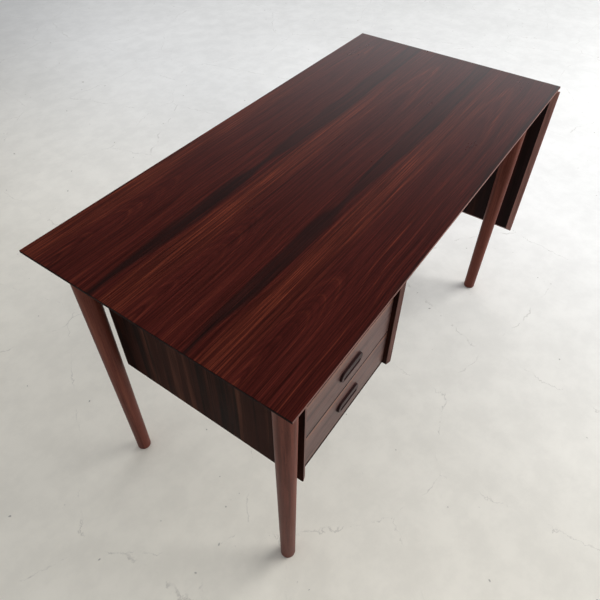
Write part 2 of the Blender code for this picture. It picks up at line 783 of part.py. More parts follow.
hinge_edge = TOP_EDGE - HINGE_INSET
for label, place in (("front", -hinge_edge), ("middle", 0.0), ("back", hinge_edge)):
    hinge(f"hinge_{label}", place)
stay("front", -STAY_Y)
stay("back", STAY_Y)
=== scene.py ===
"""Dresses the writing desk: veneers, solid wood, brass fittings, the floor, the light and the camera.

The packed model gives every place and size. Each operator makes one group of pieces round it, and each
piece rides on the body that it belongs to.
"""

import json
import math

import bmesh
import bpy
from mathutils import Matrix, Vector


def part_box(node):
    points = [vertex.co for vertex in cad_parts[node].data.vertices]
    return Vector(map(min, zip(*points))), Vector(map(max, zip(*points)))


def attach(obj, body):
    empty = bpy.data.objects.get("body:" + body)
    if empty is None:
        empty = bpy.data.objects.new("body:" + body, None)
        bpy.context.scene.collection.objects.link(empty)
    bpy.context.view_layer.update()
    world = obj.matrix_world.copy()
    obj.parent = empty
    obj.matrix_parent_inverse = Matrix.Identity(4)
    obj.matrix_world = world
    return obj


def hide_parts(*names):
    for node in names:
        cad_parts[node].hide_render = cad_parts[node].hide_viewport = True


bl_info = {
    "name": "Writing desk",
    "version": (1, 0, 0),
    "blender": (4, 5, 0),
    "location": "View3D > Sidebar > Desk",
    "description": "Makes the fine surfaces of a writing desk with a drop leaf",
    "category": "Object",
}

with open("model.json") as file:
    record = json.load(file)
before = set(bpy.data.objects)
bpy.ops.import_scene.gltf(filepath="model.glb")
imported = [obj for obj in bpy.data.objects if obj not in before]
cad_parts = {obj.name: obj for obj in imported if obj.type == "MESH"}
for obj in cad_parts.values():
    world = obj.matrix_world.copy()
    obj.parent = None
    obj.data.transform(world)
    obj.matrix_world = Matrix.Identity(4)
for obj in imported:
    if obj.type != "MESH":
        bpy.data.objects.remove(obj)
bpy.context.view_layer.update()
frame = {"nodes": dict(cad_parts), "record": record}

# ---- places that the frame gives -----------------------------------------------------------------

TOP_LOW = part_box("top_lipping_left")[0]
TOP_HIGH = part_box("top_lipping_right")[1]
TOP_MIDDLE_X = (TOP_LOW.x + TOP_HIGH.x) / 2
LEAF_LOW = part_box("leaf_lipping_end")[0]
LEAF_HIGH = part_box("leaf_lipping_hinge_side")[1]
HINGES = ("front", "middle", "back")
SIDES = ("front", "back")
DRAWERS = ("lower_drawer", "upper_drawer")
TOP_PARTS = ("panel", "lipping_front", "lipping_back", "lipping_left", "lipping_right")
LEAF_PARTS = ("panel", "lipping_front", "lipping_back", "lipping_end", "lipping_hinge_side")

# ---- values of the pieces ------------------------------------------------------------------------

SLIVER = 1e-5  # two places nearer than this count as one
EDGE_WAY = 0.8  # a face that looks less than this along a board's thickness is one of its edges
FRONT_WAY = 0.7  # a face that looks more than this one way counts as looking that way

PULL_END_WALL = 0.006
PULL_TOP_WALL = 0.0035
PULL_LIP = 0.0030
PULL_ROUND = 0.0011
MOUTH_DROP = 0.0055  # middle of the finger mouth below the middle of the pull
MOUTH_HEIGHT = 0.008
MOUTH_INSET = 0.002  # from the hollow's end to the mouth's
OVERCUT = 0.001

SCREW_SPOTS = ((0.16, 0.62), (0.5, 0.30), (0.84, 0.62))  # shares along and across a hinge leaf
STAY_SCREWS = (0.002, 0.011)  # from the middle of a stay's plate, along Y and along Z
HEAD_DEPTH = 0.36  # the shares of a screw head are of its radius
HEAD_ROUND = 0.28
SLOT_REACH = 1.2
SLOT_HALF = 0.13
SLOT_FLOOR = 0.02
SCREW_TURNS = (0.7, 1.9)  # the first screw's turn and each further one's, in radians

# Share of the leaf of veneer that the dark band takes, from the left end of the top to its right end.
BAND_WIDTHS = (
    (0.0, 0.03), (0.16, 0.085), (0.31, 0.095), (0.39, 0.035), (0.50, 0.085), (0.62, 0.13), (1.0, 0.10),
)
BAND_SHARE = 0.80
BAND_RAGGED = 0.075
RINGS_PER_METRE = 300.0
RING_DRIFT = 0.45

# ---- values of the stage -------------------------------------------------------------------------

# The camera stands left of the desk's front left corner and looks down on it.
CAMERA_PLACE = (TOP_MIDDLE_X - 0.9168, -0.5248, 1.3845)
CAMERA_YAW = 0.9689
CAMERA_PITCH = 0.7915
CAMERA_ROLL = 0.0110
CAMERA_LENS = 33.33
CAMERA_SHIFT = -0.0305
CAMERA_SENSOR = 36.0

ROOM_WALLS = (0.93, 0.97, 1.0)
ROOM_CEILING = (0.055, 0.05, 0.058)
CEILING_FROM, CEILING_FULL = 0.24, 0.62  # sines of the height where the walls darken into the ceiling
DAYLIGHT = 1.06
DAYLIGHT_X, DAYLIGHT_Y = 0.44, 0.12  # what the walls towards +X and +Y add to it
MIRROR_FROM, MIRROR_FULL = 0.42, 1.0  # the wall towards +X is what the polish mirrors
MIRROR_DIM, MIRROR_BRIGHT = 0.35, 2.1

LAMPS = (  # name, place, aim, size, power, tint
    ("window", (3.2, -2.8, 2.4), (TOP_MIDDLE_X, 0, 0.5), 3.5, 200.0, (1.0, 0.985, 0.96)),
    ("far_window", (4.2, 1.6, 2.6), (1.8, 0.6, 0.0), 3.0, 30.0, (1.0, 1.0, 1.0)),
)
SKY_STRENGTH = 1.0
SKY_SPREAD = math.radians(100)
SKY_TURN = (math.radians(-8), math.radians(14), 0)

FLOOR_SIZE = 40.0
FLOOR_ROUGHNESS = 0.75
CRACK_WIDTH = 0.0035
CRACKS_PER_METRE = 1.7


# ---- sizes and colours that a user may change ----------------------------------------------------


def length(name, description, default):
    return bpy.props.FloatProperty(
        name=name, description=description, default=default, min=0.0, subtype="DISTANCE", unit="LENGTH"
    )


def colour(name, description, default):
    return bpy.props.FloatVectorProperty(
        name=name, description=description, default=default, size=3, min=0.0, max=1.0, subtype="COLOR"
    )


class DeskSizes(bpy.types.PropertyGroup):
    lip: length("Edge lip", "Height of the upright lip on the boards' thin edges", 0.0055)
    undercut: length("Undercut", "How far the thin edges slope back under the lip", 0.014)
    board_arris: length("Board arris", "Round on the arrises of the top and the leaf", 0.0007)
    case_arris: length("Case arris", "Round on the arrises of the case boards", 0.0007)
    box_arris: length("Box arris", "Round on the arrises of the drawer boxes and runners", 0.0006)
    brass_arris: length("Fitting arris", "Round on the arrises of hinges and stays", 0.0002)
    foot_round: length("Foot round", "Round at the foot of each leg", 0.0025)
    slip_width: length("Veneer leaf width", "Width of one slip-matched leaf of veneer", 0.212)
    band_place: length("Dark band", "Distance of the first dark band behind the middle of the top", 0.115)
    screw_head: length("Screw head", "Radius of a countersunk screw head", 0.0027)
    plate: length("Fitting plate", "Thickness of the hinge and stay plates", 0.0015)


class DeskColours(bpy.types.PropertyGroup):
    veneer_dark: colour("Dark band", "The dark bands of the veneer", (0.0145, 0.0052, 0.0045))
    veneer_red: colour("Veneer", "The body of the veneer", (0.0540, 0.0080, 0.0056))
    veneer_warm: colour("Warm streaks", "The light streaks of the veneer", (0.1500, 0.0300, 0.0130))
    case_dark: colour("Case, dark", "Dark stripes of the case veneer", (0.0080, 0.0045, 0.0040))
    case_body: colour("Case", "Body of the case veneer", (0.0330, 0.0100, 0.0068))
    case_light: colour("Case, light", "Light stripes of the case veneer", (0.0820, 0.0290, 0.0180))
    front_dark: colour("Front, dark", "Dark lines of the drawer fronts", (0.0500, 0.0225, 0.0210))
    front_body: colour("Front", "Body of the drawer fronts", (0.1030, 0.0480, 0.0410))
    front_light: colour("Front, light", "Light lines of the drawer fronts", (0.1450, 0.0680, 0.0500))
    leg_dark: colour("Leg, dark", "Dark lines of the legs", (0.0900, 0.0240, 0.0160))
    leg_body: colour("Leg", "Body of the legs", (0.1400, 0.0410, 0.0285))
    leg_light: colour("Leg, light", "Light lines of the legs", (0.2100, 0.0680, 0.0440))
    # Painted highlight: the solid edges' tints are partly the lipping wood's own colour and partly a painted
    # highlight, made lighter to stand in for the light that their rounded arrises catch.
    edge_dark: colour("Edge, dark", "Dark lines of the boards' solid edges", (0.1300, 0.0600, 0.0500))
    edge_body: colour("Edge", "Body of the boards' solid edges", (0.2100, 0.1020, 0.0860))
    edge_light: colour("Edge, light", "Light lines of the boards' solid edges", (0.2700, 0.1360, 0.1150))
    # Painted shade: the colour of faces that stand in shadow.
    shade_body: colour("Shaded faces", "The left edge and the leaf's inner face", (0.0150, 0.0065, 0.0065))
    pull_body: colour("Pulls", "Body of the pulls", (0.0420, 0.0220, 0.0220))
    frame_body: colour("Under-frame", "Body of the rails", (0.0300, 0.0120, 0.0085))
    oak_dark: colour("Drawer wood, dark", "Dark lines of the drawer boxes", (0.2500, 0.1450, 0.0700))
    oak_body: colour("Drawer wood", "Body of the drawer boxes", (0.4000, 0.2550, 0.1350))
    oak_light: colour("Drawer wood, light", "Light lines of the drawer boxes", (0.5000, 0.3400, 0.1950))
    brass_body: colour("Brass", "Body of the brass fittings", (0.4800, 0.3300, 0.1350))
    brass_dull: colour("Aged brass", "Dull patches of the brass", (0.1900, 0.1250, 0.0600))
    # Painted tint of the light: the floor is warmer left of the desk and cooler right of it.
    floor_warm: colour("Floor, left", "The floor left of the desk", (0.9000, 0.8650, 0.7700))
    floor_cool: colour("Floor, right", "The floor right of the desk", (0.8300, 0.8350, 0.8300))
    crack: colour("Cracks", "Cracks and specks in the floor paint", (0.3000, 0.2850, 0.2600))


# ---- shader building -----------------------------------------------------------------------------


def node(tree, kind, inputs=None, **settings):
    """Adds one shader node. An input is given a value, or the socket that feeds it."""
    made = tree.nodes.new(kind)
    for key, value in settings.items():
        setattr(made, key, value)
    for key, value in (inputs or {}).items():
        if isinstance(value, bpy.types.NodeSocket):
            tree.links.new(value, made.inputs[key])
        else:
            made.inputs[key].default_value = value
    return made


def sum_of(tree, operation, *values, clamp=False):
    """One Math node's result."""
    inputs = dict(enumerate(values))
    return node(tree, "ShaderNodeMath", inputs, operation=operation, use_clamp=clamp).outputs[0]


def ease(tree, value, low, high, to_low=0.0, to_high=1.0, smooth=True):
    """Maps a value from one range to another, eased at both ends and clamped."""
    inputs = {"Value": value, "From Min": low, "From Max": high, "To Min": to_low, "To Max": to_high}
    kind = "SMOOTHSTEP" if smooth else "LINEAR"
    return node(tree, "ShaderNodeMapRange", inputs, interpolation_type=kind, clamp=True).outputs["Result"]


def mixed(tree, factor, first, second, kind="MIX"):
    """Two colours mixed."""
    inputs = {0: factor}
    for slot, value in ((6, first), (7, second)):
        is_socket = isinstance(value, bpy.types.NodeSocket)
        inputs[slot] = value if is_socket else (*value, 1.0)
    made = node(tree, "ShaderNodeMix", inputs, data_type="RGBA", blend_type=kind, clamp_factor=True)
    return made.outputs[2]


def stretched(tree, vector, scale, offset=(0.0, 0.0, 0.0)):
    inputs = {"Vector": vector, "Scale": scale, "Location": offset}
    return node(tree, "ShaderNodeMapping", inputs, vector_type="POINT").outputs[0]


def noise(tree, vector, detail=2.0, roughness=0.5, scale=1.0):
    inputs = {"Vector": vector, "Scale": scale, "Detail": detail, "Roughness": roughness}
    return node(tree, "ShaderNodeTexNoise", inputs).outputs["Fac"]


def moved(tree, vector, by):
    """A vector with values or sockets added along the named axes."""
    step = node(tree, "ShaderNodeCombineXYZ", by).outputs[0]
    return node(tree, "ShaderNodeVectorMath", {0: vector, 1: step}, operation="ADD").outputs[0]


def shaded(tree, tone, shade):
    """A colour made lighter or darker by one value."""
    grey = node(tree, "ShaderNodeCombineColor", {0: shade, 1: shade, 2: shade}).outputs[0]
    return mixed(tree, 1.0, tone, grey, "MULTIPLY")


def new_group(name, inputs, outputs):
    """An empty node group with its sockets, each a name, a kind and a default."""
    tree = bpy.data.node_groups.new(name, "ShaderNodeTree")
    for label, kind, default in inputs:
        socket = tree.interface.new_socket(name=label, in_out="INPUT", socket_type=f"NodeSocket{kind}")
        socket.default_value = default
    for label, kind in outputs:
        tree.interface.new_socket(name=label, in_out="OUTPUT", socket_type=f"NodeSocket{kind}")
    return tree, tree.nodes.new("NodeGroupInput").outputs, tree.nodes.new("NodeGroupOutput")


def use_group(tree, maker, inputs):
    """Places a node group, built the first time it is asked for."""
    shared = bpy.data.node_groups.get(maker.__doc__.split(":")[0]) or maker()
    made = tree.nodes.new("ShaderNodeGroup")
    made.node_tree = shared
    for key, value in inputs.items():
        if isinstance(value, bpy.types.NodeSocket):
            tree.links.new(value, made.inputs[key])
        else:
            made.inputs[key].default_value = value
    return made.outputs


def fibre_group():
    """Fibre and pores: fine streaks and short open pores along X."""
    tree, given, out = new_group(
        "Fibre and pores",
        [("Vector", "Vector", (0, 0, 0)), ("Fineness", "Float", 1.0)],
        [("Fibre", "Float"), ("Pores", "Float")],
    )
    sized = node(tree, "ShaderNodeVectorMath", {0: given["Vector"], 3: given["Fineness"]}, operation="SCALE")
    vector = sized.outputs[0]
    coarse = noise(tree, stretched(tree, vector, (5.0, 480.0, 480.0)), 4.0, 0.62)
    fine = noise(tree, stretched(tree, vector, (12.0, 1400.0, 1400.0)), 2.0, 0.5)
    both = sum_of(tree, "MULTIPLY_ADD", fine, 0.45, sum_of(tree, "MULTIPLY", coarse, 0.55))
    tree.links.new(ease(tree, both, 0.33, 0.67, smooth=False), out.inputs["Fibre"])
    pore = noise(tree, stretched(tree, vector, (70.0, 1500.0, 1500.0), (0.3, 0.7, 0.1)), 1.0, 0.4)
    tree.links.new(ease(tree, pore, 0.60, 0.70), out.inputs["Pores"])
    return tree


def stripe_group():
    """Striped figure: straight growth stripes along X, which wander a little."""
    tree, given, out = new_group(
        "Striped figure",
        [("Vector", "Vector", (0, 0, 0)), ("Stripes", "Float", 20.0)],
        [("Tone", "Float"), ("Line", "Float")],
    )
    wander = noise(tree, stretched(tree, given["Vector"], (2.2, 5.0, 5.0)), 1.0)
    sway = {"Y": sum_of(tree, "MULTIPLY", wander, 0.02), "Z": sum_of(tree, "MULTIPLY", wander, 0.013)}
    shifted = moved(tree, given["Vector"], sway)
    flat = stretched(tree, shifted, (0.05, 1.0, 1.0))
    sized = node(tree, "ShaderNodeVectorMath", {0: flat, 3: given["Stripes"]}, operation="SCALE").outputs[0]
    broad = noise(tree, sized, 5.0, 0.66)
    tree.links.new(ease(tree, broad, 0.30, 0.72, smooth=False), out.inputs["Tone"])
    line = noise(tree, stretched(tree, sized, (1.0, 3.1, 3.1), (4.0, 2.0, 7.0)), 3.0, 0.6)
    tree.links.new(ease(tree, line, 0.57, 0.68), out.inputs["Line"])
    return tree


def slip_group():
    """Slip-matched figure: one leaf of veneer laid again and again across Y, with its arched figure."""
    tree, given, out = new_group(
        "Slip-matched figure",
        [("Vector", "Vector", (0, 0, 0)), ("Leaf Width", "Float", 0.2), ("First Band", "Float", 0.1)],
        [("Tone", "Float"), ("Band", "Float"), ("Warm", "Float")],
    )
    parts = node(tree, "ShaderNodeSeparateXYZ", {0: given["Vector"]}).outputs
    x, y = parts["X"], parts["Y"]
    slow = noise(tree, node(tree, "ShaderNodeCombineXYZ", {"X": sum_of(tree, "MULTIPLY", x, 2.3)}).outputs[0])
    place = sum_of(tree, "DIVIDE", sum_of(tree, "SUBTRACT", given["First Band"], y), given["Leaf Width"])
    place = sum_of(tree, "ADD", place, sum_of(tree, "MULTIPLY", sum_of(tree, "SUBTRACT", slow, 0.5), 0.14))
    leaf = sum_of(tree, "FLOOR", place)
    across = sum_of(tree, "FRACT", place)
    metres = sum_of(tree, "MULTIPLY", across, given["Leaf Width"])
    own = sum_of(tree, "MULTIPLY", leaf, 0.9)

    # The dark band that starts each leaf: a solid heartwood streak, then two lines round a dim stripe.
    edge_vector = node(
        tree,
        "ShaderNodeCombineXYZ",
        {"X": sum_of(tree, "MULTIPLY", x, 7.0), "Y": sum_of(tree, "MULTIPLY", metres, 60.0), "Z": own},
    ).outputs[0]
    ragged = sum_of(tree, "SUBTRACT", noise(tree, edge_vector, 4.0, 0.6), 0.5)
    ragged = sum_of(tree, "MULTIPLY", ragged, BAND_RAGGED)
    off = sum_of(tree, "MINIMUM", across, sum_of(tree, "SUBTRACT", 1.0, across))
    off = sum_of(tree, "ADD", off, ragged)
    run = ease(tree, x, -0.6, 0.6, smooth=False)
    widths = node(tree, "ShaderNodeValToRGB", {0: run})
    widths.color_ramp.interpolation = "EASE"
    ramp = widths.color_ramp.elements
    inner = [ramp.new(stop) for stop, _ in BAND_WIDTHS[1:-1]]
    for element, (stop, width) in zip((ramp[0], *inner, ramp[-1]), BAND_WIDTHS):
        element.position = stop
        element.color = (width, width, width, 1.0)
    width = sum_of(tree, "MULTIPLY", widths.outputs[0], BAND_SHARE)
    solid = ease(tree, sum_of(tree, "SUBTRACT", width, off), -0.030, 0.026)
    rim = sum_of(tree, "ABSOLUTE", sum_of(tree, "SUBTRACT", off, sum_of(tree, "MULTIPLY", width, 0.85)))
    lines = ease(tree, rim, 0.0, 0.034, 1.0, 0.0)
    dim_stripe = sum_of(tree, "MULTIPLY", solid, 0.60)
    lined = sum_of(tree, "MAXIMUM", dim_stripe, sum_of(tree, "MULTIPLY", lines, 0.95))
    hollow = ease(tree, x, -0.16, 0.04)
    band = node(tree, "ShaderNodeMix", {0: hollow, 2: solid, 3: lined}).outputs[0]
    tree.links.new(band, out.inputs["Band"])

    # Growth rings cut at a slant: arches that point along +X at the left end and straighten out.
    axis = sum_of(tree, "MULTIPLY", sum_of(tree, "SUBTRACT", across, 0.48), given["Leaf Width"])
    bow = noise(tree, stretched(tree, given["Vector"], (3.0, 1.0, 1.0), (5.0, 0.0, 0.0)), 1.0)
    axis = sum_of(tree, "ADD", axis, sum_of(tree, "MULTIPLY", sum_of(tree, "SUBTRACT", bow, 0.5), 0.03))
    depth = sum_of(tree, "ADD", ease(tree, x, -0.68, -0.22, 0.0, 0.052), ease(tree, x, 0.1, 0.9, 0.0, 0.02))
    axis_squared = sum_of(tree, "POWER", sum_of(tree, "ABSOLUTE", axis), 2.0)
    ring = sum_of(tree, "SQRT", sum_of(tree, "ADD", axis_squared, sum_of(tree, "POWER", depth, 2.0)))
    ring_vector = node(
        tree,
        "ShaderNodeCombineXYZ",
        {
            "X": sum_of(tree, "MULTIPLY", ring, RINGS_PER_METRE),
            "Y": sum_of(tree, "MULTIPLY", x, RING_DRIFT),
            "Z": sum_of(tree, "MULTIPLY", leaf, 0.12),
        },
    ).outputs[0]
    rings = noise(tree, ring_vector, 6.0, 0.62)
    tree.links.new(ease(tree, rings, 0.30, 0.72, smooth=False), out.inputs["Tone"])

    # The warm zone just past the band, strongest towards the left end.
    warm = sum_of(tree, "MULTIPLY", ease(tree, across, 0.07, 0.17), ease(tree, across, 0.22, 0.44, 1.0, 0.0))
    warm = sum_of(tree, "MULTIPLY", warm, ease(tree, x, -0.2, 0.5, 1.0, 0.30))
    tree.links.new(warm, out.inputs["Warm"])
    return tree


def wear_group():
    """Hand finish: oil that has dried unevenly, with faint smears, as a roughness."""
    tree, given, out = new_group(
        "Hand finish",
        [("Vector", "Vector", (0, 0, 0)), ("Roughness", "Float", 0.4), ("Spread", "Float", 0.08)],
        [("Roughness", "Float")],
    )
    cloud = noise(tree, stretched(tree, given["Vector"], (6.0, 11.0, 11.0)), 3.0, 0.55)
    smear = noise(tree, stretched(tree, given["Vector"], (40.0, 90.0, 90.0)), 4.0, 0.6)
    mix = sum_of(tree, "MULTIPLY_ADD", smear, 0.35, sum_of(tree, "MULTIPLY", cloud, 0.65))
    spread = sum_of(tree, "MULTIPLY", sum_of(tree, "SUBTRACT", mix, 0.5), given["Spread"])
    swing = sum_of(tree, "MULTIPLY", spread, 4.0)
    tree.links.new(sum_of(tree, "ADD", given["Roughness"], swing, clamp=True), out.inputs["Roughness"])
    return tree


def edge_group():
    """Rubbed arris: a mask that is 1 where an edge has been rubbed by hands and cloths."""
    tree, given, out = new_group(
        "Rubbed arris",
        [("Vector", "Vector", (0, 0, 0)), ("Radius", "Float", 0.001)],
        [("Mask", "Float")],
    )
    rounded = node(tree, "ShaderNodeBevel", {"Radius": given["Radius"]}, samples=4).outputs[0]
    true = node(tree, "ShaderNodeNewGeometry").outputs["Normal"]
    compared = node(tree, "ShaderNodeVectorMath", {0: rounded, 1: true}, operation="DOT_PRODUCT")
    facing = compared.outputs["Value"]
    rubbed = noise(tree, stretched(tree, given["Vector"], (60.0, 60.0, 60.0)), 3.0, 0.6)
    mask = sum_of(tree, "MULTIPLY", ease(tree, facing, 0.999, 0.86), ease(tree, rubbed, 0.35, 0.65))
    tree.links.new(mask, out.inputs["Mask"])
    return tree


def new_material(name, specular=0.5, ior=1.5, metallic=0.0):
    """A material with its shader, its node tree and the object coordinates."""
    made = bpy.data.materials.new(name)
    made.use_nodes = True
    tree = made.node_tree
    shader = tree.nodes["Principled BSDF"]
    shader.inputs["IOR"].default_value = ior
    shader.inputs["Specular IOR Level"].default_value = specular
    shader.inputs["Metallic"].default_value = metallic
    return made, tree, shader, node(tree, "ShaderNodeTexCoord").outputs["Object"]


def along_grain(tree, vector, grain, offset=(0.0, 0.0, 0.0)):
    """Turns object coordinates so that the grain runs along X. grain names the axis it runs along."""
    order = {"X": "XYZ", "Y": "YXZ", "Z": "ZYX"}[grain]
    parts = node(tree, "ShaderNodeSeparateXYZ", {0: vector}).outputs
    turned = node(tree, "ShaderNodeCombineXYZ", dict(enumerate(parts[axis] for axis in order))).outputs[0]
    return stretched(tree, turned, (1.0, 1.0, 1.0), offset)


def finish_wood(
    tree, shader, vector, colour_socket, roughness, spread, fineness, pore_depth, fibre_strength
):
    """Adds fibre, pores, bump and the uneven finish to a wood colour, and feeds the shader."""
    grain = use_group(tree, fibre_group, {"Vector": vector, "Fineness": fineness})
    wear = use_group(tree, wear_group, {"Vector": vector, "Roughness": roughness, "Spread": spread})
    shade = ease(tree, grain["Fibre"], 0.0, 1.0, 1.0 - fibre_strength, 1.0 + fibre_strength, smooth=False)
    shade = sum_of(tree, "MULTIPLY", shade, ease(tree, grain["Pores"], 0.0, 1.0, 1.0, 0.68, smooth=False))
    tree.links.new(shaded(tree, colour_socket, shade), shader.inputs["Base Color"])
    tree.links.new(wear["Roughness"], shader.inputs["Roughness"])
    ridges = sum_of(tree, "MULTIPLY", grain["Fibre"], 0.15)
    height = sum_of(tree, "MULTIPLY_ADD", grain["Pores"], -1.0, ridges)
    bump = node(tree, "ShaderNodeBump", {"Height": height, "Distance": pore_depth, "Strength": 0.35})
    tree.links.new(bump.outputs[0], shader.inputs["Normal"])


def striped_wood(name, grain, dark, body, light, stripes, roughness, specular=0.5, fineness=1.0,
                 offset=(0.0, 0.0, 0.0), arris_highlight=None, fibre_strength=0.30):
    """Straight-grained wood in three tones. streak is the place across the grain of one warm line."""
    made, tree, shader, place = new_material(name, specular)
    vector = along_grain(tree, place, grain, offset)
    figure = use_group(tree, stripe_group, {"Vector": vector, "Stripes": stripes})
    low = ease(tree, figure["Tone"], 0.10, 0.48)
    high = ease(tree, figure["Tone"], 0.52, 0.90)
    tone = mixed(tree, high, mixed(tree, low, dark, body), light)
    tone = mixed(tree, sum_of(tree, "MULTIPLY", figure["Line"], 0.75), tone, dark)
    # Painted highlight: a warm light line just under a drawer front's top edge, where its arris would catch
    # the light.
    if arris_highlight is not None:
        across = node(tree, "ShaderNodeSeparateXYZ", {0: place}).outputs["Z"]
        near = sum_of(tree, "ABSOLUTE", sum_of(tree, "SUBTRACT", across, arris_highlight))
        tone = mixed(tree, ease(tree, near, 0.0, 0.005, 0.75, 0.0), tone, (0.22, 0.08, 0.04))
    finish_wood(tree, shader, vector, tone, roughness, 0.05, fineness, 0.00006, fibre_strength)
    return made


def slip_matched_veneer(name, stands):
    """The veneer of the top. On the leaf, which stands upright, the figure runs on down from the hinge."""
    sizes, tints = bpy.context.scene.desk_sizes, bpy.context.scene.desk_colours
    made, tree, shader, place = new_material(name, 0.16)
    parts = node(tree, "ShaderNodeSeparateXYZ", {0: place}).outputs
    if stands:
        along = sum_of(tree, "SUBTRACT", TOP_HIGH.x - TOP_MIDDLE_X + LEAF_HIGH.z, parts["Z"])
        through = parts["X"]
    else:
        along = sum_of(tree, "SUBTRACT", parts["X"], TOP_MIDDLE_X)
        through = parts["Z"]
    vector = node(tree, "ShaderNodeCombineXYZ", {0: along, 1: parts["Y"], 2: through}).outputs[0]
    figure = use_group(
        tree,
        slip_group,
        {"Vector": vector, "Leaf Width": sizes.slip_width, "First Band": sizes.band_place},
    )
    streaks = use_group(tree, fibre_group, {"Vector": vector, "Fineness": 0.62})["Fibre"]
    low = ease(tree, figure["Tone"], 0.05, 0.55)
    high = ease(tree, figure["Tone"], 0.50, 0.95)
    tone = mixed(tree, low, [0.70 * part for part in tints.veneer_red], tints.veneer_red)
    lit = sum_of(tree, "MULTIPLY", high, ease(tree, streaks, 0.2, 0.9, 0.1, 0.6))
    tone = mixed(tree, lit, tone, tints.veneer_warm)
    warmth = sum_of(tree, "MULTIPLY", figure["Warm"], ease(tree, streaks, 0.35, 0.95, 0.10, 0.95))
    tone = mixed(tree, warmth, tone, tints.veneer_warm)
    contrast = ease(tree, along, -0.25, 0.5, 1.15, 0.55)
    shade = sum_of(tree, "MULTIPLY_ADD", sum_of(tree, "SUBTRACT", streaks, 0.5), contrast, 1.0)
    tone = shaded(tree, tone, shade)
    band = sum_of(tree, "MULTIPLY", figure["Band"], ease(tree, streaks, 0.3, 1.0, 0.95, 0.60))
    tone = mixed(tree, band, tone, tints.veneer_dark)
    finish_wood(tree, shader, vector, tone, 0.28, 0.010, 1.0, 0.00002, 0.6)
    return made


def aged_brass():
    """Brass that has dulled in patches and stays bright where it is rubbed."""
    tints = bpy.context.scene.desk_colours
    made, tree, shader, place = new_material("aged_brass", metallic=1.0)
    patches = ease(tree, noise(tree, stretched(tree, place, (160.0, 160.0, 160.0)), 4.0, 0.6), 0.42, 0.64)
    rubbed = use_group(tree, edge_group, {"Vector": place, "Radius": 0.0006})["Mask"]
    tone = mixed(tree, patches, tints.brass_body, tints.brass_dull)
    tone = mixed(tree, rubbed, tone, (0.72, 0.52, 0.24))
    tree.links.new(tone, shader.inputs["Base Color"])
    tree.links.new(ease(tree, patches, 0.0, 1.0, 0.28, 0.5), shader.inputs["Roughness"])
    scratches = noise(tree, stretched(tree, place, (300.0, 3000.0, 300.0)), 2.0)
    bump = node(tree, "ShaderNodeBump", {"Height": scratches, "Distance": 0.00005, "Strength": 0.4})
    tree.links.new(bump.outputs[0], shader.inputs["Normal"])
    return made


def finish(name):
    """A material by name, made the first time it is asked for."""
    found = bpy.data.materials.get(name)
    if found:
        return found
    tints = bpy.context.scene.desk_colours
    if name == "slip_matched_top":
        return slip_matched_veneer(name, False)
    if name == "slip_matched_leaf":
        return slip_matched_veneer(name, True)
    if name == "aged_brass":
        return aged_brass()
    case = (tints.case_dark, tints.case_body, tints.case_light)
    front = (tints.front_dark, tints.front_body, tints.front_light)
    legs = (tints.leg_dark, tints.leg_body, tints.leg_light)
    edges = (tints.edge_dark, tints.edge_body, tints.edge_light)
    # Painted light: the case's front edges are a share of the edge tints, partly their own colour and partly
    # painted light for the window light that falls on them.
    case_edges = tuple([0.60 * part for part in tint] for tint in edges)
    # Painted shade: dark tones for faces that stand in shadow, the top's left edge, the leaf's inner face,
    # the case's lower front edges and the drawer fronts' top faces.
    shade = (tints.case_dark, tints.shade_body, tints.case_body)
    rails = (tints.case_dark, tints.frame_body, tints.case_light)
    oak = (tints.oak_dark, tints.oak_body, tints.oak_light)
    pull_dark, pull_light = ([share * part for part in tints.pull_body] for share in (0.5, 1.9))
    pulls = (pull_dark, tints.pull_body, pull_light)
    # Painted highlights: the heights of the warm lines on the lower and upper drawer fronts, just under their
    # top arrises.
    lower = {"offset": (0.0, 0.0, 0.3), "arris_highlight": 0.4530}
    made = {
        "case_upright": lambda: striped_wood(name, "Z", *case, 21.0, 0.5, 0.02, offset=(0.0, 0.06, 0.0)),
        "case_level": lambda: striped_wood(name, "X", *case, 26.0, 0.5, 0.05),
        "front_lower": lambda: striped_wood(name, "X", *front, 44.0, 0.42, 0.28, **lower),
        "front_upper": lambda: striped_wood(name, "X", *front, 44.0, 0.42, 0.28, arris_highlight=0.5605),
        # Painted highlight: the top's and the leaf's solid edges have the lipping colour with a painted
        # highlight in it.
        "solid_edge_and_highlight": lambda: striped_wood(name, "X", *edges, 60.0, 0.45, 0.04),
        "leaf_edge_and_highlight": lambda: striped_wood(name, "Z", *edges, 60.0, 0.45, 0.04),
        "case_edge": lambda: striped_wood(name, "Z", *case_edges, 60.0, 0.45, 0.04),
        "painted_shade_edge": lambda: striped_wood(name, "X", *shade, 60.0, 0.5, 0.02),
        "painted_shade_face": lambda: striped_wood(name, "Z", *shade, 24.0, 0.5, 0.06),
        "turned_leg": lambda: striped_wood(name, "Z", *legs, 34.0, 0.42, 0.06, fibre_strength=0.18),
        "carved_pull": lambda: striped_wood(name, "X", *pulls, 90.0, 0.42, 0.08, fineness=1.6),
        "frame_along_x": lambda: striped_wood(name, "X", *rails, 30.0, 0.5, 0.35),
        "frame_along_y": lambda: striped_wood(name, "Y", *rails, 30.0, 0.5, 0.35),
        "oak_along_y": lambda: striped_wood(name, "Y", *oak, 45.0, 0.55, 0.4, fibre_strength=0.16),
        "oak_along_x": lambda: striped_wood(name, "X", *oak, 45.0, 0.55, 0.4, fibre_strength=0.16),
    }
    return made[name]()


# ---- mesh tools ----------------------------------------------------------------------------------


def deselect():
    if bpy.context.mode != "OBJECT":
        bpy.ops.object.mode_set(mode="OBJECT")
    bpy.ops.object.select_all(action="DESELECT")


def work_on(piece):
    deselect()
    piece.select_set(True)
    bpy.context.view_layer.objects.active = piece


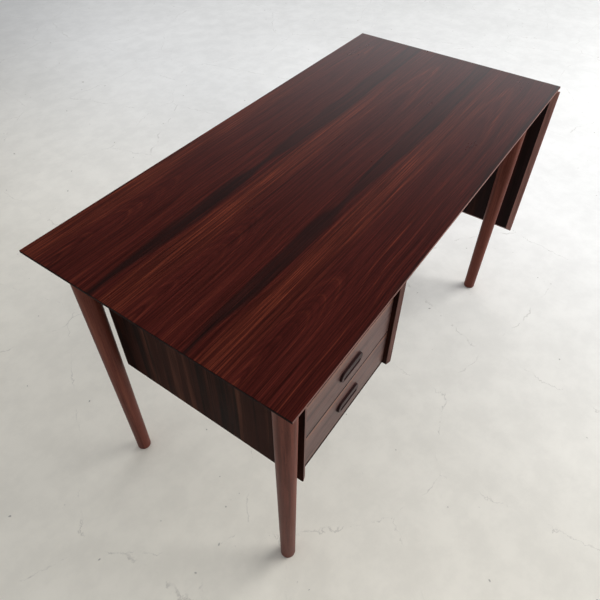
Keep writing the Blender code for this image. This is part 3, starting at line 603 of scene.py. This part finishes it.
def block(name, low, high):
    """A new block between two corners, its place in its mesh."""
    deselect()
    low, high = Vector(low), Vector(high)
    bpy.ops.mesh.primitive_cube_add(size=1.0, location=(low + high) / 2)
    piece = bpy.context.object
    piece.name = piece.data.name = name
    piece.scale = high - low
    bpy.ops.object.transform_apply(location=True, rotation=True, scale=True)
    return piece


def pick(piece, kind, test):
    """In edit mode, selects the faces, edges or vertices that pass a test, and nothing else."""
    bpy.ops.mesh.select_mode(type=kind)
    bpy.ops.mesh.select_all(action="DESELECT")
    form = bmesh.from_edit_mesh(piece.data)
    for item in {"FACE": form.faces, "EDGE": form.edges, "VERT": form.verts}[kind]:
        if test(item):
            item.select_set(True)
    form.select_flush(True)
    bmesh.update_edit_mesh(piece.data)


def smooth(piece, angle=32):
    """Shades round stretches smooth and keeps the broad faces flat."""
    work_on(piece)
    bpy.ops.object.shade_smooth_by_angle(angle=math.radians(angle))
    even = piece.modifiers.new("even", "WEIGHTED_NORMAL")
    even.keep_sharp = True
    even.weight = 100
    bpy.ops.object.modifier_apply(modifier="even")


def ease_edges(piece, width, segments=2, angle=30):
    """Rounds every arris sharper than an angle, and shades the rest flat."""
    bevel = piece.modifiers.new("arris", "BEVEL")
    bevel.width = width
    bevel.segments = segments
    bevel.limit_method = "ANGLE"
    bevel.angle_limit = math.radians(angle)
    bevel.use_clamp_overlap = True
    work_on(piece)
    bpy.ops.object.modifier_apply(modifier="arris")
    smooth(piece)


def dress(piece, material, test):
    """Gives a further material to the faces whose direction passes a test."""
    piece.data.materials.append(material)
    for face in piece.data.polygons:
        if test(face.normal):
            face.material_index = len(piece.data.materials) - 1


def deliver(piece, material, slot, body, *nodes):
    """Gives a finished piece its material, its slot, its body and the nodes that it stands for."""
    piece.data.materials.clear()
    piece.data.materials.append(material)
    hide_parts(*nodes)
    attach(piece, body)
    return piece


def body_of(name):
    return next(body for body, nodes in frame["record"]["behaviour"]["bodies"].items() if name in nodes)


def eased(name, material, slot, width):
    """A CAD node copied, its triangles merged into faces, and its arrises rounded."""
    piece = bpy.data.objects.new(f"{name}_eased", frame["nodes"][name].data.copy())
    bpy.context.scene.collection.objects.link(piece)
    work_on(piece)
    bpy.ops.object.mode_set(mode="EDIT")
    bpy.ops.mesh.select_all(action="SELECT")
    bpy.ops.mesh.remove_doubles(threshold=SLIVER)
    bpy.ops.mesh.dissolve_limited(angle_limit=math.radians(0.5))
    bpy.ops.object.mode_set(mode="OBJECT")
    ease_edges(piece, width)
    return deliver(piece, finish(material), slot, body_of(name), name)


def thin_edged_board(name, low, high, axis, thin_sides):
    """A board whose face looks along +axis. Its thin sides have an upright lip over a slope."""
    sizes = bpy.context.scene.desk_sizes
    low, high = Vector(low), Vector(high)
    lip_low = low.copy()
    lip_low[axis] = high[axis] - sizes.lip
    piece = block(name, lip_low, high)
    bpy.ops.object.mode_set(mode="EDIT")
    pick(piece, "FACE", lambda face: face.normal[axis] < -0.9)
    drop = Vector((0, 0, 0))
    drop[axis] = low[axis] - lip_low[axis]
    bpy.ops.mesh.extrude_region_move(TRANSFORM_OT_translate={"value": drop})
    for side, sign in thin_sides:
        edge = high[side] if sign > 0 else low[side]
        pick(
            piece,
            "VERT",
            lambda vert, side=side, edge=edge: abs(vert.co[side] - edge) < SLIVER
            and vert.co[axis] < low[axis] + SLIVER,
        )
        step = Vector((0, 0, 0))
        step[side] = -sign * sizes.undercut
        bpy.ops.transform.translate(value=step)
    bpy.ops.object.mode_set(mode="OBJECT")
    ease_edges(piece, sizes.board_arris, 3)
    return piece


def oval_block(name, centre, size, front, back):
    """An upright oval with half-round ends, from its front face back along Y."""
    deselect()
    radius = size[1] / 2
    bpy.ops.mesh.primitive_cylinder_add(
        vertices=64, radius=radius, depth=back - front, rotation=(math.pi / 2, 0, 0),
        location=(centre[0], (front + back) / 2, centre[1]),
    )
    piece = bpy.context.object
    piece.name = piece.data.name = name
    bpy.ops.object.transform_apply(location=True, rotation=True, scale=True)
    bpy.ops.object.mode_set(mode="EDIT")
    step = size[0] / 2 - radius
    pick(piece, "VERT", lambda vert: vert.co.x - centre[0] < -SLIVER)
    bpy.ops.transform.translate(value=(-step, 0, 0))
    pick(piece, "VERT", lambda vert: vert.co.x - centre[0] > -SLIVER)
    bpy.ops.transform.translate(value=(step, 0, 0))
    bpy.ops.object.mode_set(mode="OBJECT")
    return piece


def carve(piece, cutter, operation="DIFFERENCE"):
    """Cuts one piece with another, or joins them, and removes the second."""
    change = piece.modifiers.new("carve", "BOOLEAN")
    change.operation = operation
    change.object = cutter
    work_on(piece)
    bpy.ops.object.modifier_apply(modifier="carve")
    bpy.data.objects.remove(cutter)


# ---- pieces --------------------------------------------------------------------------------------


class DESK_OT_boards(bpy.types.Operator):
    """Make the veneered top and the drop leaf, each one board with thin edges"""

    bl_idname = "desk.boards"
    bl_label = "Top and drop leaf"

    def execute(self, context):
        front_back_left = [(1, -1), (1, 1), (0, -1)]
        top = thin_edged_board("top_board", TOP_LOW, TOP_HIGH, 2, front_back_left)
        top_nodes = (f"top_{part}" for part in TOP_PARTS)
        deliver(top, finish("slip_matched_top"), "top_veneer", "desk", *top_nodes)
        # Painted highlight: the top's thin edges take the lighter edge tints.
        dress(top, finish("solid_edge_and_highlight"), lambda way: abs(way.z) < EDGE_WAY)
        # Painted shade: the top's left end edge is darker, standing in for the shade on that side.
        dress(top, finish("painted_shade_edge"), lambda way: way.x < -0.5)
        front_back_end = [(1, -1), (1, 1), (2, -1)]
        leaf = thin_edged_board("leaf_board", LEAF_LOW, LEAF_HIGH, 0, front_back_end)
        leaf_nodes = (f"leaf_{part}" for part in LEAF_PARTS)
        deliver(leaf, finish("slip_matched_leaf"), "top_veneer", "leaf", *leaf_nodes)
        # Painted shade: the leaf's inner face, which faces the case in the shade under the top, is given the
        # dark shade tones.
        dress(leaf, finish("painted_shade_face"), lambda way: way.x < -EDGE_WAY)
        # Painted highlight: the leaf's thin edges take the lighter edge tints.
        dress(leaf, finish("leaf_edge_and_highlight"), lambda way: abs(way.x) < EDGE_WAY)
        return {"FINISHED"}


class DESK_OT_legs(bpy.types.Operator):
    """Make the four round, tapered legs"""

    bl_idname = "desk.legs"
    bl_label = "Legs"

    def execute(self, context):
        sizes = context.scene.desk_sizes
        for side in SIDES:
            for end in ("left", "right"):
                node_name = f"leg_{side}_{end}"
                low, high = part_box(node_name)
                centre = (low + high) / 2
                top_radius = (high.x - low.x) / 2
                spots = [vert.co for vert in frame["nodes"][node_name].data.vertices]
                feet = [spot for spot in spots if spot.z < sizes.foot_round * 1.2]
                foot_radius = max((spot - centre).xy.length for spot in feet)
                deselect()
                length_up = high.z - low.z
                bpy.ops.mesh.primitive_cone_add(
                    vertices=96, radius1=foot_radius, radius2=top_radius, depth=length_up, location=centre
                )
                leg = bpy.context.object
                leg.name = leg.data.name = f"{node_name}_turned"
                bpy.ops.object.transform_apply(location=True, rotation=True, scale=True)
                bpy.ops.object.mode_set(mode="EDIT")
                pick(leg, "EDGE", lambda edge: all(v.co.z < 0.001 for v in edge.verts))
                bpy.ops.mesh.bevel(offset=sizes.foot_round, segments=5, affect="EDGES")
                bpy.ops.object.mode_set(mode="OBJECT")
                bpy.ops.object.shade_smooth_by_angle(angle=math.radians(35))
                deliver(leg, finish("turned_leg"), "leg_wood", "desk", node_name)
        return {"FINISHED"}


class DESK_OT_case(bpy.types.Operator):
    """Make the drawer case's boards and the under-frame's rails, with eased arrises"""

    bl_idname = "desk.case"
    bl_label = "Case and under-frame"

    def execute(self, context):
        width = context.scene.desk_sizes.case_arris
        for name in ("case_side_left", "case_side_right", "case_back"):
            board = eased(name, "case_upright", "case_veneer", width)
            # Painted light: the case boards' front edges take these lighter tints.
            dress(board, finish("case_edge"), lambda way: way.y < -FRONT_WAY)
        for name in ("case_bottom", "case_shelf"):
            board = eased(name, "case_level", "case_veneer", width)
            # Painted shade: the front edges of the case's bottom and shelf are dark, standing in for their
            # shadow.
            dress(board, finish("painted_shade_edge"), lambda way: way.y < -FRONT_WAY)
        for name in ("case_cross_rail_front", "case_cross_rail_back", "rail_front", "rail_back"):
            eased(name, "frame_along_x", "frame_wood", width)
        for name in ("rail_left", "rail_right"):
            eased(name, "frame_along_y", "frame_wood", width)
        return {"FINISHED"}


class DESK_OT_drawers(bpy.types.Operator):
    """Make the drawer fronts, boxes and runners"""

    bl_idname = "desk.drawers"
    bl_label = "Drawers"

    def execute(self, context):
        sizes = context.scene.desk_sizes
        for drawer in DRAWERS:
            wood = f"front_{drawer.split('_')[0]}"
            front = eased(f"{drawer}_front", wood, "front_veneer", sizes.case_arris)
            # Painted shade: the drawer front's top face is dark, standing in for the shadow in the gap above
            # it.
            dress(front, finish("painted_shade_edge"), lambda way: way.z > FRONT_WAY)
            for part in ("side_left", "side_right", "runner_left", "runner_right"):
                eased(f"{drawer}_{part}", "oak_along_y", "drawer_wood", sizes.box_arris)
            for part in ("back", "bottom"):
                eased(f"{drawer}_{part}", "oak_along_x", "drawer_wood", sizes.box_arris)
        return {"FINISHED"}


class DESK_OT_pulls(bpy.types.Operator):
    """Make the oval pulls, each hollowed behind a bowed upper lip"""

    bl_idname = "desk.pulls"
    bl_label = "Pulls"

    def execute(self, context):
        for drawer in DRAWERS:
            low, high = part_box(f"{drawer}_pull")
            centre = ((low.x + high.x) / 2, (low.z + high.z) / 2)
            size = (high.x - low.x, high.z - low.z)
            pull = oval_block(f"{drawer}_pull_oval", centre, size, low.y, high.y)
            ease_edges(pull, PULL_ROUND, 3)
            inner = (size[0] - 2 * PULL_END_WALL, size[1] - 2 * PULL_TOP_WALL)
            carve(pull, oval_block("hollow", centre, inner, low.y + PULL_LIP, high.y + PULL_END_WALL))
            mouth = (centre[0], centre[1] - MOUTH_DROP)
            mouth_size = (inner[0] - 2 * MOUTH_INSET, MOUTH_HEIGHT)
            reach = (low.y - PULL_END_WALL, low.y + PULL_LIP + OVERCUT)
            carve(pull, oval_block("mouth", mouth, mouth_size, *reach))
            smooth(pull)
            deliver(pull, finish("carved_pull"), "pull_wood", drawer, f"{drawer}_pull")
        return {"FINISHED"}


class DESK_OT_fittings(bpy.types.Operator):
    """Make the brass hinges and the folding stays, with eased arrises"""

    bl_idname = "desk.fittings"
    bl_label = "Hinges and stays"

    def execute(self, context):
        width = context.scene.desk_sizes.brass_arris
        for place in HINGES:
            for part in ("top_leaf", "drop_leaf", "pin"):
                eased(f"hinge_{place}_{part}", "aged_brass", "brass", width)
        for place in SIDES:
            for part in ("rail_bracket", "arm", "link", "leaf_bracket"):
                eased(f"stay_{place}_{part}", "aged_brass", "brass", width)
        return {"FINISHED"}


def screw_head():
    """One slotted, slightly domed screw head about the origin, looking along +Z."""
    radius = bpy.context.scene.desk_sizes.screw_head
    deselect()
    bpy.ops.mesh.primitive_cylinder_add(
        vertices=20, radius=radius, depth=radius * HEAD_DEPTH, location=(0, 0, 0)
    )
    head = bpy.context.object
    head.name = head.data.name = "screw_head"
    bpy.ops.object.mode_set(mode="EDIT")
    pick(head, "EDGE", lambda edge: all(vert.co.z > 0 for vert in edge.verts))
    bpy.ops.mesh.bevel(offset=radius * HEAD_ROUND, segments=3, affect="EDGES")
    bpy.ops.object.mode_set(mode="OBJECT")
    reach, half = radius * SLOT_REACH, radius * SLOT_HALF
    carve(head, block("groove", (-reach, -half, SLOT_FLOOR * radius), (reach, half, radius)))
    return head


class DESK_OT_screws(bpy.types.Operator):
    """Make the screws in the hinge and stay plates, one group for each body"""

    bl_idname = "desk.screws"
    bl_label = "Screws"

    def execute(self, context):
        plate = context.scene.desk_sizes.plate
        down = Matrix.Rotation(math.pi, 4, "X")
        left = Matrix.Rotation(-math.pi / 2, 4, "Y")
        spots = {"desk": [], "leaf": []}
        for place in HINGES:
            low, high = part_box(f"hinge_{place}_top_leaf")
            for along, across in SCREW_SPOTS:
                y = low.y + (high.y - low.y) * along
                x = low.x + across * (high.x - low.x)
                spots["desk"].append((Vector((x, y, high.z - plate)), down))
            low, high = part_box(f"hinge_{place}_drop_leaf")
            for along, across in SCREW_SPOTS:
                y = low.y + (high.y - low.y) * along
                z = low.z + across * (high.z - low.z)
                spots["leaf"].append((Vector((high.x - plate, y, z)), left))
        for place in SIDES:
            low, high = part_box(f"stay_{place}_leaf_bracket")
            middle = (low + high) / 2
            for sign in (-1, 1):
                y, z = middle.y + STAY_SCREWS[0], middle.z + sign * STAY_SCREWS[1]
                spots["leaf"].append((Vector((high.x - plate, y, z)), left))
        pattern = screw_head()
        for body, places in spots.items():
            made = []
            for index, (spot, turn) in enumerate(places):
                twist = Matrix.Rotation(SCREW_TURNS[0] + SCREW_TURNS[1] * index, 4, "Z")
                mesh = pattern.data.copy()
                mesh.transform(Matrix.Translation(spot) @ turn @ twist)
                screw = bpy.data.objects.new(f"screws_{body}", mesh)
                context.scene.collection.objects.link(screw)
                made.append(screw)
            work_on(made[0])
            for screw in made:
                screw.select_set(True)
            bpy.ops.object.join()
            group = context.view_layer.objects.active
            group.name = f"screws_{body}"
            bpy.ops.object.shade_smooth_by_angle(angle=math.radians(35))
            group.data.materials.append(finish("aged_brass"))
            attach(group, body)
        bpy.data.objects.remove(pattern)
        return {"FINISHED"}


# ---- stage ---------------------------------------------------------------------------------------


def floor_material():
    """Pale painted floor with faint stains, cracks and specks, dimmer far behind the desk's left end."""
    made, tree, shader, place = new_material("floor_paint", 0.08)
    tints = bpy.context.scene.desk_colours
    parts = node(tree, "ShaderNodeSeparateXYZ", {0: place}).outputs
    # Painted tint of the light: warmer on the left, cooler on the right.
    tone = mixed(tree, ease(tree, parts["X"], -0.9, 1.3), tints.floor_warm, tints.floor_cool)
    # Painted shade: darker far behind the desk's left end and far to the right.
    far_left = sum_of(tree, "MULTIPLY_ADD", parts["X"], -0.8, parts["Y"])
    far_right = ease(tree, parts["X"], 1.5, 3.0, 1.0, 0.86)
    dim = sum_of(tree, "MULTIPLY", ease(tree, far_left, 1.1, 2.6, 1.0, 0.76), far_right)
    cloud = noise(tree, stretched(tree, place, (1.3, 1.3, 1.0)), 6.0, 0.65)
    patch = noise(tree, stretched(tree, place, (11.0, 11.0, 1.0)), 5.0, 0.7)
    stain = ease(tree, cloud, 0.3, 0.7, 0.94, 1.02)
    stain = sum_of(tree, "MULTIPLY", stain, ease(tree, patch, 0.35, 0.65, 0.96, 1.02))
    tone = shaded(tree, tone, sum_of(tree, "MULTIPLY", stain, dim))
    bend = {"X": sum_of(tree, "MULTIPLY", patch, 0.10), "Y": sum_of(tree, "MULTIPLY", cloud, 0.25)}
    cells = {"Vector": moved(tree, place, bend), "Scale": CRACKS_PER_METRE}
    net = node(tree, "ShaderNodeTexVoronoi", cells, feature="DISTANCE_TO_EDGE").outputs[0]
    cracks = ease(tree, net, 0.0, CRACK_WIDTH, 1.0, 0.0)
    cracks = sum_of(tree, "MULTIPLY", cracks, ease(tree, patch, 0.47, 0.58))
    dots = noise(tree, stretched(tree, place, (48.0, 48.0, 1.0), (3.0, 1.0, 0.0)), 1.0)
    specks = sum_of(tree, "MULTIPLY", ease(tree, dots, 0.765, 0.80), 0.7)
    marks = sum_of(tree, "MAXIMUM", sum_of(tree, "MULTIPLY", cracks, 0.35), specks)
    tone = mixed(tree, marks, tone, tints.crack)
    tree.links.new(tone, shader.inputs["Base Color"])
    shader.inputs["Roughness"].default_value = FLOOR_ROUGHNESS
    return made


def world_light():
    """A pale room: bright walls, most of all past the desk's right end, and a dark ceiling.

    The polish mirrors a room that is darker on the left than the one that lights the wood.
    """
    world = bpy.data.worlds.new("pale_room")
    bpy.context.scene.world = world
    world.use_nodes = True
    tree = world.node_tree
    tree.nodes.clear()
    direction = node(tree, "ShaderNodeTexCoord").outputs["Generated"]
    parts = node(tree, "ShaderNodeSeparateXYZ", {0: direction}).outputs
    height = ease(tree, parts["Z"], CEILING_FROM, CEILING_FULL)
    tone = mixed(tree, height, ROOM_WALLS, ROOM_CEILING)
    side = sum_of(tree, "MULTIPLY", parts["X"], DAYLIGHT_X)
    side = sum_of(tree, "ADD", side, sum_of(tree, "MULTIPLY", parts["Y"], DAYLIGHT_Y))
    lighting = sum_of(tree, "ADD", DAYLIGHT, side)
    mirrored = ease(tree, parts["X"], MIRROR_FROM, MIRROR_FULL, MIRROR_DIM, MIRROR_BRIGHT)
    is_mirrored = node(tree, "ShaderNodeLightPath").outputs["Is Glossy Ray"]
    strength = node(tree, "ShaderNodeMix", {0: is_mirrored, 2: lighting, 3: mirrored}).outputs[0]
    light = node(tree, "ShaderNodeBackground", {"Color": tone, "Strength": strength})
    out = node(tree, "ShaderNodeOutputWorld")
    tree.links.new(light.outputs[0], out.inputs["Surface"])


def soft_light(name, kind, power):
    """A lamp that lights the wood softly and isn't mirrored in it."""
    lamp = bpy.data.lights.new(name, kind)
    lamp.energy = power
    made = bpy.data.objects.new(name, lamp)
    made.visible_glossy = False
    bpy.context.scene.collection.objects.link(made)
    return made


class DESK_OT_stage(bpy.types.Operator):
    """Set out the floor, the soft light and the camera"""

    bl_idname = "desk.stage"
    bl_label = "Floor, light and camera"

    def execute(self, context):
        scene = context.scene
        deselect()
        bpy.ops.mesh.primitive_plane_add(size=FLOOR_SIZE, location=(0, 0, 0))
        ground = bpy.context.object
        ground.name = "floor"
        ground.data.materials.append(floor_material())
        world_light()
        for name, place, aim, size, power, tint in LAMPS:
            window = soft_light(name, "AREA", power)
            window.data.size = size
            window.data.color = tint
            window.location = place
            window.rotation_euler = (Vector(aim) - Vector(place)).to_track_quat("-Z", "Y").to_euler()
        sky = soft_light("sky", "SUN", SKY_STRENGTH)
        sky.data.angle = SKY_SPREAD
        sky.rotation_euler = SKY_TURN
        lens = bpy.data.cameras.new("camera")
        lens.lens = CAMERA_LENS
        lens.sensor_width = CAMERA_SENSOR
        lens.shift_y = CAMERA_SHIFT
        camera = bpy.data.objects.new("camera", lens)
        camera.location = CAMERA_PLACE
        turn = Matrix.Rotation(-CAMERA_YAW, 3, "Z") @ Matrix.Rotation(math.pi / 2 - CAMERA_PITCH, 3, "X")
        camera.rotation_euler = (turn @ Matrix.Rotation(CAMERA_ROLL, 3, "Z")).to_euler()
        scene.collection.objects.link(camera)
        scene.camera = camera
        scene.view_settings.view_transform = "Standard"
        scene.view_settings.look = "None"
        return {"FINISHED"}


class DESK_PT_panel(bpy.types.Panel):
    """The desk's pieces, sizes and colours"""

    bl_idname = "DESK_PT_panel"
    bl_label = "Writing desk"
    bl_space_type = "VIEW_3D"
    bl_region_type = "UI"
    bl_category = "Desk"

    def draw(self, context):
        for operator in OPERATORS:
            self.layout.operator(operator.bl_idname)
        for group in (context.scene.desk_sizes, context.scene.desk_colours):
            box = self.layout.box()
            for name in group.__annotations__:
                box.prop(group, name)


OPERATORS = (
    DESK_OT_stage,
    DESK_OT_boards,
    DESK_OT_legs,
    DESK_OT_case,
    DESK_OT_drawers,
    DESK_OT_pulls,
    DESK_OT_fittings,
    DESK_OT_screws,
)
CLASSES = (DeskSizes, DeskColours, *OPERATORS, DESK_PT_panel)


def register():
    for made in CLASSES:
        bpy.utils.register_class(made)
    bpy.types.Scene.desk_sizes = bpy.props.PointerProperty(type=DeskSizes)
    bpy.types.Scene.desk_colours = bpy.props.PointerProperty(type=DeskColours)


def unregister():
    del bpy.types.Scene.desk_sizes
    del bpy.types.Scene.desk_colours
    for made in reversed(CLASSES):
        bpy.utils.unregister_class(made)


def main():
    register()
    deselect()
    for operator in OPERATORS:
        family, verb = operator.bl_idname.split(".")
        getattr(getattr(bpy.ops, family), verb)()


if __name__ == "__main__":
    main()
